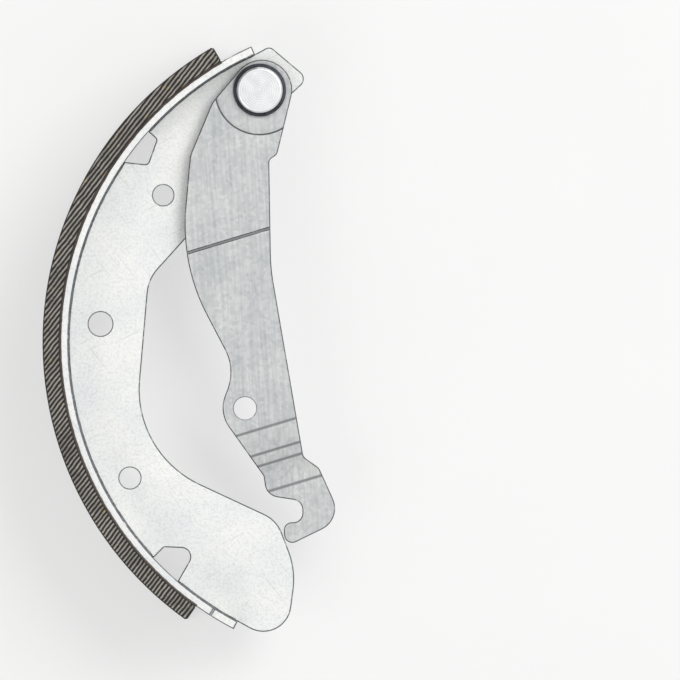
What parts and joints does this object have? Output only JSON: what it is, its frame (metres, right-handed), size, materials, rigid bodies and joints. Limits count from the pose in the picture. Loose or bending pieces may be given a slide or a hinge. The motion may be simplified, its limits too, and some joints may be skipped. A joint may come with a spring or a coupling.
{
  "type": "drum brake shoe with handbrake lever",
  "caption": "Bonded drum brake shoe with a crescent web welded to a rolled table, and a pivoting handbrake lever whose hook takes the cable.",
  "frame": {"origin": "centre of the hold-down hole, half way through the web's thickness", "axes": "X and Y lie in the plane of the web, with +Y along the shoe towards the lever's pivot and +X towards the wheel's axis; +Z is square to the web, towards the handbrake lever. The drum's axis is parallel to Z at X 82.72 mm, Y -5.29 mm."},
  "size_m": [0.0856, 0.1712, 0.045],
  "materials": {
    "coated_steel": "satin",
    "friction_lining": "matte",
    "lever_steel": "satin",
    "pin_steel": "satin",
    "spring_steel": "satin"
  },
  "bodies": {
    "shoe": {"web": "coated_steel", "table": "coated_steel", "lining": "friction_lining", "pivot_pin": "pin_steel", "spring_washer": "spring_steel", "retaining_clip": "spring_steel"},
    "lever": {"handbrake_lever": "lever_steel"}
  },
  "joints": [
    {"name": "lever_pivot", "type": "hinge", "parent": "shoe", "child": "lever", "pos_m": [0.04652, 0.06841, 0], "axis": [0, 0, 1], "range_deg": [0, 25]}
  ]
}
